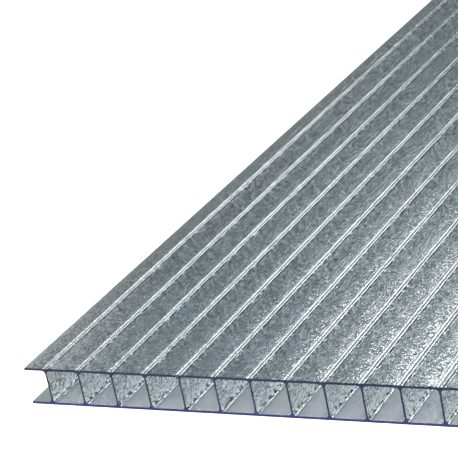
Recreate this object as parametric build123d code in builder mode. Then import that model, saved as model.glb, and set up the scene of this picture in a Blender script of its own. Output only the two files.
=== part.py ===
from build123d import *
from math import floor
import os

# A clear twin-wall polycarbonate sheet, extruded in one piece: two flat skins, held apart by thin upright
# ribs, with a row of straight flutes that run the whole length of the sheet.
# Millimetres, +Z up. The sheet lies flat, with X across the ribs and Y along the flutes. The origin is in
# the middle of its underside.

# Size that the sheet is cut to
sheet_width = 305.0
sheet_length = 610.0

# Section that comes out of the die
sheet_thickness = 6.0
rib_pitch = 5.7
skin_thickness = 0.38
rib_thickness = 0.30
flute_corner_radius = 0.57

# The saw ran along the sheet through the middle of a flute, so both skins stand out past the first rib.
left_overhang = 3.7

# One flute is what the skins and two neighbouring ribs leave open.
flute_width = rib_pitch - rib_thickness
flute_height = sheet_thickness - 2 * skin_thickness

# The last rib keeps its half thickness and its corner fillets inside the right-hand edge.
room_for_ribs = sheet_width - left_overhang - rib_thickness / 2 - flute_corner_radius
whole_flutes = floor(room_for_ribs / rib_pitch)

# The saw opened one more flute outside the first rib and another outside the last.
cut_flutes = 2
first_rib_x = left_overhang - sheet_width / 2
middle_flute_x = first_rib_x + whole_flutes * rib_pitch / 2
mid_height = sheet_thickness / 2

# The section is drawn at the near end, where the flutes show, and runs back from there along +Y.
near_end = Plane.XZ.offset(sheet_length / 2)
with BuildPart() as twin_wall_sheet:
    with BuildSketch(near_end) as section:
        with Locations((0, mid_height)):
            Rectangle(sheet_width, sheet_thickness)
        with Locations((middle_flute_x, mid_height)):
            with GridLocations(rib_pitch, 0, whole_flutes + cut_flutes, 1):
                RectangleRounded(flute_width, flute_height, flute_corner_radius, mode=Mode.SUBTRACT)
    extrude(amount=-sheet_length)

twin_wall_sheet.part.label = "twin_wall_sheet"

os.makedirs("parts", exist_ok=True)
export_step(twin_wall_sheet.part, "parts/twin_wall_sheet.step")

print("whole flutes", whole_flutes, "ribs", whole_flutes + 1)
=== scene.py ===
# %% [markdown]
# # A clear twin-wall polycarbonate sheet
# This is a panel for glazing a greenhouse. Two thin skins are held apart by thin upright ribs, and the whole
# section leaves the die as one piece of clear plastic. It comes here as one finished mesh, which Blender
# neither moves nor reshapes. A clear thing is mostly made of what shows through it, so this notebook builds
# the paper below, the room and the lamps around, and then one material that bends and scatters their light.
#
# All lengths are in metres. X runs across the ribs, Y along the flutes and Z up.

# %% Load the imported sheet
import math

import bpy
from mathutils import Matrix, Vector


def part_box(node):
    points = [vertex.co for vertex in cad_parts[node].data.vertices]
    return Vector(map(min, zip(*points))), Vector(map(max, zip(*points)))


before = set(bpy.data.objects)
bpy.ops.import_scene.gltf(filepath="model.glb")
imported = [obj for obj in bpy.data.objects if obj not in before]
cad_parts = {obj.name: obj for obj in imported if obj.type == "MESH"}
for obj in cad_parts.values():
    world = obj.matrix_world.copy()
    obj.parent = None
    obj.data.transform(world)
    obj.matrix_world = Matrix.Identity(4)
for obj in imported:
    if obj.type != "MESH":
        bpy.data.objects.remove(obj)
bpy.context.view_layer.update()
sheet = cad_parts["twin_wall_sheet"]
sheet_low, sheet_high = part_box("twin_wall_sheet")
print("sheet from", tuple(sheet_low), "to", tuple(sheet_high))

# %% [markdown]
# ## Tones, and how far light may travel
# The sheet is shown on a paper-white ground. Blender's default view transform rolls bright tones off like
# film, so white comes out grey. Stronger lamps could make up for it, but they would burn out the plastic.
# The plain Standard transform is used instead: a surface that sends 1.0 to the camera is white.
#
# A ray that looks along the flutes crosses many walls. Cycles drops it after a set number of crossings, and
# what it was going to show turns black. So those numbers are set well above Blender's own.

# %% Choose the view transform and the number of bounces
scene = bpy.context.scene
scene.view_settings.view_transform = "Standard"
scene.view_settings.look = "None"
scene.cycles.use_denoising = True
scene.cycles.max_bounces = 24
scene.cycles.transmission_bounces = 20
scene.cycles.glossy_bounces = 12
scene.cycles.diffuse_bounces = 4
scene.cycles.sample_clamp_indirect = 6.0
print("view transform", scene.view_settings.view_transform, "bounces", scene.cycles.max_bounces)

# %% [markdown]
# ## The camera
# The picture looks along the flutes at the near left corner, from low down and with the camera tipped to one
# side. A camera could be placed by eye, but this one was worked out from where the ends of the ribs lie in
# the picture. A camera looks along its own -Z, so a tracking quaternion aims it, and a turn about that axis
# gives the tip.

# %% Place the camera
camera_place = Vector((0.01256, -0.51368, 0.12440))
camera_azimuth = math.radians(30.97)
camera_elevation = math.radians(21.43)
camera_roll = math.radians(-12.09)
camera_lens = 152.75

camera = bpy.data.objects.new("camera", bpy.data.cameras.new("camera"))
scene.collection.objects.link(camera)
scene.camera = camera
camera.data.sensor_width = 36.0
camera.data.lens = camera_lens
camera.data.clip_start = 0.01
camera.data.clip_end = 50.0
looking = Vector((
    -math.sin(camera_azimuth) * math.cos(camera_elevation),
    math.cos(camera_azimuth) * math.cos(camera_elevation),
    -math.sin(camera_elevation),
))
aim = looking.to_track_quat("-Z", "Y").to_matrix()
roll = Matrix.Rotation(camera_roll, 3, "Z")
camera.matrix_world = Matrix.Translation(camera_place) @ (aim @ roll).to_4x4()
print("camera at", tuple(camera_place), "lens", camera.data.lens)

# %% [markdown]
# ## The floor
# The sheet lies on matt paper. Blender's plane operator could lay it, but four corners written out need no
# operator and keep its size in sight. It is large, because some views look across it from low down, and it
# lies a hair below the plastic, so that two surfaces don't fight for the same place.

# %% Lay the paper
floor_half = 12.0
floor_gap = 0.0002

floor_mesh = bpy.data.meshes.new("floor")
floor_corners = [
    (-floor_half, -floor_half, -floor_gap),
    (floor_half, -floor_half, -floor_gap),
    (floor_half, floor_half, -floor_gap),
    (-floor_half, floor_half, -floor_gap),
]
floor_mesh.from_pydata(floor_corners, [], [(0, 1, 2, 3)])
floor = bpy.data.objects.new("floor", floor_mesh)
scene.collection.objects.link(floor)
print("floor", floor_half * 2, "m square")

# %% [markdown]
# ## Paper that is white by itself and grey through plastic
# Around the sheet the ground is pure white, yet the plastic shows a much greyer one through itself. Plain
# white paper can't do both: it makes a clear sheet vanish. The Light Path node tells the rays apart. Paper
# that the camera sees directly is white, with a little light of its own, as on a light table. All other
# rays, such as those through the plastic, find grey paper.
#
# A material is a graph of nodes. Two short helpers keep its recipe readable: one makes a node and fills its
# sockets, and one joins two sockets.

# %% Make the paper
paper_seen = (0.90, 0.90, 0.90, 1.0)
paper_backlight = (0.55, 0.55, 0.55, 1.0)
paper_through_plastic = (0.345, 0.32, 0.335, 1.0)


def add_node(tree, kind, **sockets):
    """A new node of that kind. Keywords set its input sockets, with _ for a space in their names."""
    node = tree.nodes.new(kind)
    for name, value in sockets.items():
        node.inputs[name.replace("_", " ")].default_value = value
    return node


def join(tree, source, target):
    """Connects an output socket to an input socket."""
    tree.links.new(source, target)


paper = bpy.data.materials.new("matt_paper")
paper.use_nodes = True
recipe = paper.node_tree
recipe.nodes.clear()
which_ray = add_node(recipe, "ShaderNodeLightPath")
white_paper = add_node(recipe, "ShaderNodeBsdfDiffuse", Color=paper_seen)
grey_paper = add_node(recipe, "ShaderNodeBsdfDiffuse", Color=paper_through_plastic)
backlight = add_node(recipe, "ShaderNodeEmission", Color=paper_backlight, Strength=1.0)
lit_paper = add_node(recipe, "ShaderNodeAddShader")
either_paper = add_node(recipe, "ShaderNodeMixShader")
paper_output = add_node(recipe, "ShaderNodeOutputMaterial")
join(recipe, which_ray.outputs["Is Camera Ray"], either_paper.inputs["Fac"])
join(recipe, white_paper.outputs["BSDF"], lit_paper.inputs[0])
join(recipe, backlight.outputs["Emission"], lit_paper.inputs[1])
join(recipe, grey_paper.outputs["BSDF"], either_paper.inputs[1])
join(recipe, lit_paper.outputs["Shader"], either_paper.inputs[2])
join(recipe, either_paper.outputs["Shader"], paper_output.inputs["Surface"])
floor_mesh.materials.append(paper)
print("paper seen", paper_seen[:3], "through the plastic", paper_through_plastic[:3])

# %% [markdown]
# ## The room
# Clear plastic also mirrors the room. In a bright white tent the sheet would nearly vanish, but the real one
# is a middle grey against white. A photographer would hang dark cloth around it. Here the room itself is
# dim, and only the camera sees it pale, by the same Light Path node.

# %% Make the world
room_glow = (0.07, 0.075, 0.08, 1.0)
room_seen = (0.93, 0.93, 0.93, 1.0)

world = bpy.data.worlds.new("studio")
scene.world = world
world.use_nodes = True
room = world.node_tree
room.nodes.clear()
room_ray = add_node(room, "ShaderNodeLightPath")
dim_room = add_node(room, "ShaderNodeBackground", Color=room_glow, Strength=1.0)
pale_room = add_node(room, "ShaderNodeBackground", Color=room_seen, Strength=1.0)
either_room = add_node(room, "ShaderNodeMixShader")
room_output = add_node(room, "ShaderNodeOutputWorld")
join(room, room_ray.outputs["Is Camera Ray"], either_room.inputs["Fac"])
join(room, dim_room.outputs["Background"], either_room.inputs[1])
join(room, pale_room.outputs["Background"], either_room.inputs[2])
join(room, either_room.outputs["Shader"], room_output.inputs["Surface"])
print("room", room_glow[:3], "seen as", room_seen[:3])

# %% [markdown]
# ## The lamps
# A broad soft box hangs overhead, on the camera's side, and lights the paper and both skins. The others
# stand behind the sheet. Their low light skims the pebbled skin towards the camera, and draws the bright
# lines over the ribs and the sparkle at the lower right. Glowing planes could do the same, but Cycles finds
# area lamps more easily, so they give less noise.
#
# The brightness of a box is that of its face. A larger box then gives more light and looks no brighter.

# %% Hang the soft boxes
lamps_aim_at = Vector((-0.11, -0.25, 0.0))


def soft_box(name, azimuth, elevation, distance, width, height, brightness):
    """A rectangular lamp in a compass direction from the near corner. Azimuth 0 is +Y, and 90 is +X."""
    turn = math.radians(azimuth)
    lift = math.radians(elevation)
    towards = Vector((math.sin(turn) * math.cos(lift), math.cos(turn) * math.cos(lift), math.sin(lift)))
    lamp = bpy.data.lights.new(name, "AREA")
    lamp.shape = "RECTANGLE"
    lamp.size = width
    lamp.size_y = height
    lamp.energy = brightness * math.pi * width * height
    holder = bpy.data.objects.new(name, lamp)
    scene.collection.objects.link(holder)
    holder.location = lamps_aim_at + distance * towards
    holder.rotation_euler = (-towards).to_track_quat("-Z", "Y").to_euler()
    holder.visible_camera = False
    print(name, "azimuth", azimuth, "elevation", elevation, "brightness", brightness)


soft_box("overhead_box", azimuth=180.0, elevation=68.0, distance=1.8,
         width=1.7, height=1.7, brightness=4.4)
soft_box("back_box", azimuth=-10.2, elevation=36.0, distance=6.0,
         width=2.59, height=1.47, brightness=9.5)
soft_box("right_back_box", azimuth=27.0, elevation=27.0, distance=6.0,
         width=1.7, height=1.3, brightness=18.0)
soft_box("left_back_box", azimuth=-44.0, elevation=21.0, distance=3.0,
         width=0.6, height=0.6, brightness=1.0)

# %% [markdown]
# ## Clear polycarbonate
# The plastic bends light strongly: its index is about 1.58. Rollers leave it a little less glossy than
# glass. Its own colour shows only where light has run a long way inside, as in the thickness of the skins.
# That could be painted on, but absorption in the volume does it by itself, by the length of each path.
#
# One Principled shader gives both the gloss and the bending. The cells below only steer its sockets.

# %% Make the plastic
plastic_roughness = 0.09
plastic_index = 1.58
plastic_clearness = 1.0
inner_colour = (0.26, 0.42, 0.46, 1.0)
inner_density = 360.0

plastic = bpy.data.materials.new("clear_polycarbonate")
plastic.use_nodes = True
graph = plastic.node_tree
clear = graph.nodes["Principled BSDF"]
clear.inputs["Roughness"].default_value = plastic_roughness
clear.inputs["IOR"].default_value = plastic_index
clear.inputs["Transmission Weight"].default_value = plastic_clearness
inside = add_node(graph, "ShaderNodeVolumeAbsorption", Color=inner_colour, Density=inner_density)
plastic_output = graph.nodes["Material Output"]
join(graph, inside.outputs["Volume"], plastic_output.inputs["Volume"])
print("index", plastic_index, "roughness", plastic_roughness, "density", inner_density)

# %% [markdown]
# ## Tell the surfaces apart
# The upper skin, the rib faces and the sawn ends have different finishes, yet they are one mesh. Its faces
# could be sorted into several materials. Here one material asks each spot which way it faces and how high
# it lies, which needs no list of faces and still holds when the sheet is cut to another size.
#
# Each answer is 1 for yes and 0 for no, worked out with Math nodes.

# %% Ask each spot where it is and which way it faces
rib_face_from = 0.15
cut_end_from = 0.5
face_margin = 0.0001
upper_face_from = sheet_high[2] - face_margin


def work_out(tree, operation, *values):
    """A Math node on sockets or plain numbers. Returns its output socket."""
    node = tree.nodes.new("ShaderNodeMath")
    node.operation = operation
    for slot, value in zip(node.inputs, values):
        if isinstance(value, (int, float)):
            slot.default_value = value
        else:
            join(tree, value, slot)
    return node.outputs["Value"]


surface = add_node(graph, "ShaderNodeNewGeometry")
facing = add_node(graph, "ShaderNodeSeparateXYZ")
join(graph, surface.outputs["True Normal"], facing.inputs["Vector"])
place = add_node(graph, "ShaderNodeTexCoord").outputs["Object"]
spot = add_node(graph, "ShaderNodeSeparateXYZ")
join(graph, place, spot.inputs["Vector"])
across = spot.outputs["X"]
height = spot.outputs["Z"]

sideways = work_out(graph, "ABSOLUTE", facing.outputs["X"])
endways = work_out(graph, "ABSOLUTE", facing.outputs["Y"])
is_rib_face = work_out(graph, "GREATER_THAN", sideways, rib_face_from)
is_cut_end = work_out(graph, "GREATER_THAN", endways, cut_end_from)
is_top = work_out(graph, "GREATER_THAN", height, upper_face_from)
print("the upper face starts at", upper_face_from)

# %% [markdown]
# ## How far is the nearest rib?
# The skin looks different over a rib. Where the ribs lie could be painted on the mesh, point by point. But
# they stand at an even pitch, so the distance is a sum: count in pitches from the first rib, and keep what
# is left over. It is negative on the left of a rib and positive on its right. A bell curve of that distance
# is 1 on a rib and fades away at both sides.

# %% Measure the distance to the nearest rib
rib_pitch = 0.0057
left_overhang = 0.0037
head_middle = 0.00002
head_half_width = 0.0006
first_rib_x = sheet_low[0] + left_overhang

ribs_along = work_out(graph, "DIVIDE", work_out(graph, "SUBTRACT", across, first_rib_x), rib_pitch)
past_halfway = work_out(graph, "FRACT", work_out(graph, "ADD", ribs_along, 0.5))
from_rib = work_out(graph, "MULTIPLY", work_out(graph, "SUBTRACT", past_halfway, 0.5), rib_pitch)

over_width = work_out(graph, "DIVIDE", work_out(graph, "SUBTRACT", from_rib, head_middle), head_half_width)
fading = work_out(graph, "MULTIPLY", work_out(graph, "MULTIPLY", over_width, over_width), -1.0)
near_rib = work_out(graph, "EXPONENT", fading)
print("first rib at", first_rib_x, "and one every", rib_pitch)

# %% [markdown]
# ## Sink lines over the ribs
# Where a rib meets the skin the plastic is thickest, cools last and draws in. That leaves a few fine lines
# along the skin, and they catch the light of the lamps behind. They are far too shallow to model. A height
# for a Bump node could make them, but Bump compares neighbouring pixels, so its lines blur and crawl in the
# distance. Here the slope itself is worked out, which stays sharp: a sine wave, cubed to narrow its crests,
# that fades away from the rib.

# %% Draw the sink lines
sink_line_gap = 0.00055
sink_line_shift = 0.00016
sink_steepness = 0.55


def leaning_across(tree, slope):
    """A tilt to one side only, as a vector."""
    lean = add_node(tree, "ShaderNodeCombineXYZ")
    join(tree, slope, lean.inputs["X"])
    return lean.outputs["Vector"]


past_line = work_out(graph, "SUBTRACT", from_rib, sink_line_shift)
wave = work_out(graph, "SINE", work_out(graph, "MULTIPLY", past_line, 2 * math.pi / sink_line_gap))
narrow_wave = work_out(graph, "MULTIPLY", wave, work_out(graph, "MULTIPLY", wave, wave))
sink_slope = work_out(graph, "MULTIPLY", work_out(graph, "MULTIPLY", narrow_wave, near_rib), sink_steepness)
sink_tilt = leaning_across(graph, work_out(graph, "MULTIPLY", sink_slope, is_top))
print("sink lines every", sink_line_gap, "steepness", sink_steepness)

# %% [markdown]
# ## The skin bulges between the ribs
# Between two ribs the skin has nothing under it, so it bulges very slightly, by a few hundredths of a
# millimetre. Each bay then shades from one side to the other. The mesh could be bent, but it has to stay as
# drawn, and nobody could see so low a bulge in its outline. A slow sine wave with the pitch of the ribs
# gives its slope.

# %% Bulge the skin
bulge_steepness = 0.03

side_wave = work_out(graph, "SINE", work_out(graph, "MULTIPLY", from_rib, 2 * math.pi / rib_pitch))
bulge_slope = work_out(graph, "MULTIPLY", side_wave, -bulge_steepness)
bulge_tilt = leaning_across(graph, work_out(graph, "MULTIPLY", bulge_slope, is_top))
print("bulge", bulge_steepness)

# %% [markdown]
# ## The pebbled skin
# The rollers that draw the sheet off the die press a fine pebble into it. Thousands of little facets sparkle
# where the lamps behind strike them. Real facets would take millions of triangles, so noise makes them. Its
# colour is three random numbers, which serve as slopes in the three directions, steeper across the sheet
# than along it. The pebble is strongest on the left of each rib and nearly smoothed away over it.

# %% Pebble the skin
pebble_steepness = (0.62, 0.4, 0.4)
pebbles_a_metre = 3600.0
pebble_stretch = (1.0, 0.7, 1.0)
pebble_in_bay = 0.8
pebble_side_to_side = -0.3
smoothed_over_rib = 0.9


def cloud(tree, stretch, per_metre, detail, roughness=0.5):
    """Noise in the sheet's own place, with about so many grains a metre. Returns the noise node."""
    stretched = add_node(tree, "ShaderNodeMapping", Scale=stretch)
    join(tree, place, stretched.inputs["Vector"])
    noise = add_node(tree, "ShaderNodeTexNoise", Scale=per_metre, Detail=detail, Roughness=roughness)
    join(tree, stretched.outputs["Vector"], noise.inputs["Vector"])
    return noise


def work_out_vector(tree, operation, first, second=None):
    """A Vector Math node. The second input is a socket or a plain vector, or for SCALE a number's socket."""
    node = tree.nodes.new("ShaderNodeVectorMath")
    node.operation = operation
    join(tree, first, node.inputs[0])
    if isinstance(second, tuple):
        node.inputs[1].default_value = second
    elif second is not None:
        join(tree, second, node.inputs["Scale"] if operation == "SCALE" else node.inputs[1])
    return node.outputs["Vector"]


def centred(tree, noise_colour):
    """Noise colours lie around a half. This moves them to lie around zero, so that they tilt both ways."""
    return work_out_vector(tree, "SUBTRACT", noise_colour, (0.5, 0.5, 0.5))


pebble = cloud(graph, pebble_stretch, pebbles_a_metre, detail=1.5)
pebble_slopes = work_out_vector(graph, "MULTIPLY", centred(graph, pebble.outputs["Color"]), pebble_steepness)
away_from_rib = work_out(graph, "SUBTRACT", 1.0, work_out(graph, "MULTIPLY", near_rib, smoothed_over_rib))
side_share = work_out(graph, "MULTIPLY_ADD", side_wave, pebble_side_to_side, pebble_in_bay)
pebble_left = work_out(graph, "MULTIPLY", side_share, away_from_rib)
pebble_share = work_out(graph, "MULTIPLY", is_top, pebble_left)
pebble_tilt = work_out_vector(graph, "SCALE", pebble_slopes, pebble_share)
print("pebble", pebble_steepness)

# %% [markdown]
# ## Crinkled rib faces
# No roller touches the ribs. They shrink freely as they cool, and their faces stay finely crinkled. A mesh
# cut very fine could carry that relief, but a tilt costs no triangles. It is the same kind of noise as the
# pebble, drawn out a little up the rib and along it. It is half as strong at the head, where the rib widens
# into the skin. Map Range makes that change with height.

# %% Crinkle the ribs
crinkle_steepness = 0.7
crinkles_a_metre = 2600.0
crinkle_stretch = (1.0, 0.7, 0.5)
crinkle_at_head = 0.5
head_depth = 0.0004
neck_depth = 0.0010
head_height = sheet_high[2] - head_depth
neck_height = sheet_high[2] - neck_depth


def grade(tree, value, start, end, low=0.0, high=1.0):
    """Goes evenly from low to high while the value goes from start to end, and stays level outside."""
    steps = add_node(tree, "ShaderNodeMapRange", From_Min=start, From_Max=end, To_Min=low, To_Max=high)
    join(tree, value, steps.inputs["Value"])
    return steps.outputs["Result"]


crinkle = cloud(graph, crinkle_stretch, crinkles_a_metre, detail=1.5)
below_head = grade(graph, height, head_height, neck_height, low=crinkle_at_head)
crinkle_kept = work_out(graph, "MULTIPLY", below_head, crinkle_steepness)
crinkle_share = work_out(graph, "MULTIPLY", is_rib_face, crinkle_kept)
crinkle_tilt = work_out_vector(graph, "SCALE", centred(graph, crinkle.outputs["Color"]), crinkle_share)
print("crinkle", crinkle_steepness, "and half of that above", head_height)

# %% [markdown]
# ## Tilt the surface
# A shader is lit by its normal, the direction in which the surface faces. Adding a small vector to it tilts
# the surface without moving it. A ray that meets a face from inside the plastic has its normal turned
# round, so the tilt is turned round as well. Both sides then describe the same bump.

# %% Tilt the normal by all four reliefs
rough_tilt = work_out_vector(graph, "ADD", pebble_tilt, crinkle_tilt)
drawn_tilt = work_out_vector(graph, "ADD", sink_tilt, bulge_tilt)
tilt = work_out_vector(graph, "ADD", rough_tilt, drawn_tilt)
outward = work_out(graph, "MULTIPLY_ADD", surface.outputs["Backfacing"], -2.0, 1.0)
turned_tilt = work_out_vector(graph, "SCALE", tilt, outward)
tilted = work_out_vector(graph, "ADD", surface.outputs["Normal"], turned_tilt)
join(graph, work_out_vector(graph, "NORMALIZE", tilted), clear.inputs["Normal"])
print("the normal is tilted by the pebble, the crinkle, the sink lines and the bulge")

# %% [markdown]
# ## The colour of the skins, with painted shade and sparkle
# The upper skin is darkened to a faintly smoky grey, which is painted shade. Each pebble is also a tiny
# lens, and shows a paler or darker bit of what lies below. From here most of them are smaller than a pixel,
# and their sparkle averages away. A steeper pebble would bring it back, but it would also scatter the sink
# lines. So the painted shade gets a grain of paler and darker spots of its own, a painted sparkle. Its noise
# has three layers of equal strength, from coarse to fine, and so it shows both near the camera and far away.
#
# Outside the first rib the skins stand free. No rib throws light back under them, so that strip is painted
# duller, a painted shade.

# %% Tint the skins
clear_tint = (0.94, 0.96, 0.96, 1.0)
# The darker and paler colours of the upper skin are painted shade and painted sparkle.
painted_shade_dark = (0.31, 0.34, 0.35, 1.0)
painted_sparkle_pale = (0.83, 0.87, 0.89, 1.0)
sparkles_a_metre = 1900.0
sparkle_dark_below = 0.42
sparkle_pale_above = 0.58
# A painted shade for the strip outside the first rib.
strip_painted_shade = (0.56, 0.65, 0.64, 1.0)
strip_stops_short = 0.0004


def blend(tree, factor, first, second):
    """A colour mix: the first colour where the factor is 0, the second where it is 1."""
    node = tree.nodes.new("ShaderNodeMix")
    node.data_type = "RGBA"
    colour_slots = [slot for slot in node.inputs if slot.type == "RGBA"]
    join(tree, factor, node.inputs["Factor"])
    for slot, colour in zip(colour_slots, (first, second)):
        if isinstance(colour, tuple):
            slot.default_value = colour
        else:
            join(tree, colour, slot)
    return [slot for slot in node.outputs if slot.type == "RGBA"][0]


# Spots of painted sparkle over the painted shade of the upper skin.
sparkle_noise = cloud(graph, pebble_stretch, sparkles_a_metre, detail=2.0, roughness=1.0)
sparkle_paleness = grade(graph, sparkle_noise.outputs["Fac"], sparkle_dark_below, sparkle_pale_above)
sparkle_pull = work_out(graph, "SUBTRACT", sparkle_paleness, 0.5)
sparkle_mix = work_out(graph, "MULTIPLY_ADD", sparkle_pull, away_from_rib, 0.5)
painted_shade_and_sparkle = blend(graph, sparkle_mix, painted_shade_dark, painted_sparkle_pale)
skin_tint_with_painted_shade = blend(graph, is_top, clear_tint, painted_shade_and_sparkle)
beside_saw = work_out(graph, "LESS_THAN", across, first_rib_x - strip_stops_short)
face_tint_with_painted_shade = blend(graph, beside_saw, skin_tint_with_painted_shade, strip_painted_shade)
# Prints the darkest and palest colours of the painted shade on the upper skin.
print("guard tint from", painted_shade_dark[:3], "to", painted_sparkle_pale[:3])

# %% [markdown]
# ## Beads on the ribs
# ## Painted glints on the ribs
# White spots along each rib, most of them near its foot, are painted highlights. They stand in for the
# bright reflections along the rib faces. Noise places them: a spot lies where the noise is higher than a
# limit, and near the foot a little is added to the noise, so that the spots crowd there. In the weld to the
# lower skin there are none. The rib between them is a shade darker, which sets them off.

# %% Strew the painted glints and tint the ribs
rib_tint = (0.82, 0.86, 0.85, 1.0)
# The white of the painted highlights along the ribs.
painted_glint_colour = (0.99, 0.99, 0.99, 1.0)
glints_a_metre = 2600.0
glint_stretch = (1.0, 0.55, 1.0)
glint_from = 0.59
glint_full = 0.62
crowding_starts = 0.0034
crowding_full = 0.0013
crowding_at_foot = 0.11
weld_height = 0.0006

# Noise that places the white spots of painted highlight.
glint_noise = cloud(graph, glint_stretch, glints_a_metre, detail=1.0)
glint_parts = add_node(graph, "ShaderNodeSeparateXYZ")
join(graph, glint_noise.outputs["Color"], glint_parts.inputs["Vector"])
crowding = grade(graph, height, crowding_starts, crowding_full, high=crowding_at_foot)
painted_glint = grade(graph, work_out(graph, "ADD", glint_parts.outputs["X"], crowding), glint_from, glint_full)
above_weld = work_out(graph, "GREATER_THAN", height, weld_height)
painted_glint_here = work_out(graph, "MULTIPLY", painted_glint, above_weld)
painted_glint_share = work_out(graph, "MULTIPLY", painted_glint_here, is_rib_face)
wall_tint_with_painted_glints = blend(graph, painted_glint_here, rib_tint, painted_glint_colour)
tint_with_painted_shade_and_glints = blend(graph, is_rib_face, face_tint_with_painted_shade, wall_tint_with_painted_glints)
# Prints where the white spots of painted highlight start to crowd.
print("beads crowd below", crowding_starts)

# %% [markdown]
# ## The sawn ends
# A saw leaves a fine matt face. Light that ran a long way inside the sheet comes out there, so the ends are
# slate grey, and a clear blue along the lower skin. To trace that light truly would take hundreds of bounces
# along the sheet, so the ends have the colour that it arrives with.

# %% Tint the sawn ends
sawn_slate = (0.035, 0.05, 0.15, 1.0)
sawn_blue = (0.09, 0.095, 0.42, 1.0)
slate_above = 0.0012
blue_below = 0.0006

blueness = grade(graph, height, slate_above, blue_below)
sawn_tint = blend(graph, blueness, sawn_slate, sawn_blue)
join(graph, blend(graph, is_cut_end, tint_with_painted_shade_and_glints, sawn_tint), clear.inputs["Base Color"])
print("sawn ends", sawn_slate[:3], "and", sawn_blue[:3])

# %% [markdown]
# ## How clear each spot is
# The painted glints are nearly opaque, so that their painted white shows. Sawn faces and the fine lines over
# the rib heads scatter light, so they look milky. A second, milky shader could be mixed in, but Principled
# has
# a socket for it: where Transmission Weight falls below 1, the rest of the light meets an opaque surface of
# the base colour. Where two such finishes meet, the cloudier one counts.

# %% Cloud the painted glints, the sawn ends and the rib heads
sawn_clearness = 0.35
glint_clearness = 0.05
head_clearness = 0.62

sawn_share = work_out(graph, "MULTIPLY", is_cut_end, 1.0 - sawn_clearness)
# The white spots of painted highlight are made nearly opaque.
painted_glint_cloudiness = work_out(graph, "MULTIPLY", painted_glint_share, 1.0 - glint_clearness)
on_head = work_out(graph, "MULTIPLY", work_out(graph, "MULTIPLY", near_rib, near_rib), is_top)
head_share = work_out(graph, "MULTIPLY", on_head, 1.0 - head_clearness)
cloudy_share = work_out(graph, "MAXIMUM", painted_glint_cloudiness, head_share)
cloudy = work_out(graph, "MAXIMUM", sawn_share, cloudy_share)
join(graph, work_out(graph, "SUBTRACT", 1.0, cloudy), clear.inputs["Transmission Weight"])
# The beads in this print are the white spots of painted highlight.
print("clearness of sawn ends", sawn_clearness, "beads", glint_clearness, "rib heads", head_clearness)

# %% [markdown]
# ## Light that shines through on to the floor
# To find out whether a lamp lights a spot, Cycles sends a straight shadow ray to it. Such a ray can't bend,
# so it takes clear plastic for a wall, and the paper under the sheet goes black. Caustics would trace the
# light truly, but with much noise. For shadow rays alone the plastic is therefore a plain tinted pane.

# %% Let shadow rays through and dress the sheet
pane_tint = (0.84, 0.85, 0.86, 1.0)

plastic_ray = add_node(graph, "ShaderNodeLightPath")
pane = add_node(graph, "ShaderNodeBsdfTransparent", Color=pane_tint)
plastic_or_pane = add_node(graph, "ShaderNodeMixShader")
join(graph, plastic_ray.outputs["Is Shadow Ray"], plastic_or_pane.inputs["Fac"])
join(graph, clear.outputs["BSDF"], plastic_or_pane.inputs[1])
join(graph, pane.outputs["BSDF"], plastic_or_pane.inputs[2])
join(graph, plastic_or_pane.outputs["Shader"], plastic_output.inputs["Surface"])

sheet.data.materials.clear()
sheet.data.materials.append(plastic)
print("materials on the sheet", [finish.name for finish in sheet.data.materials])
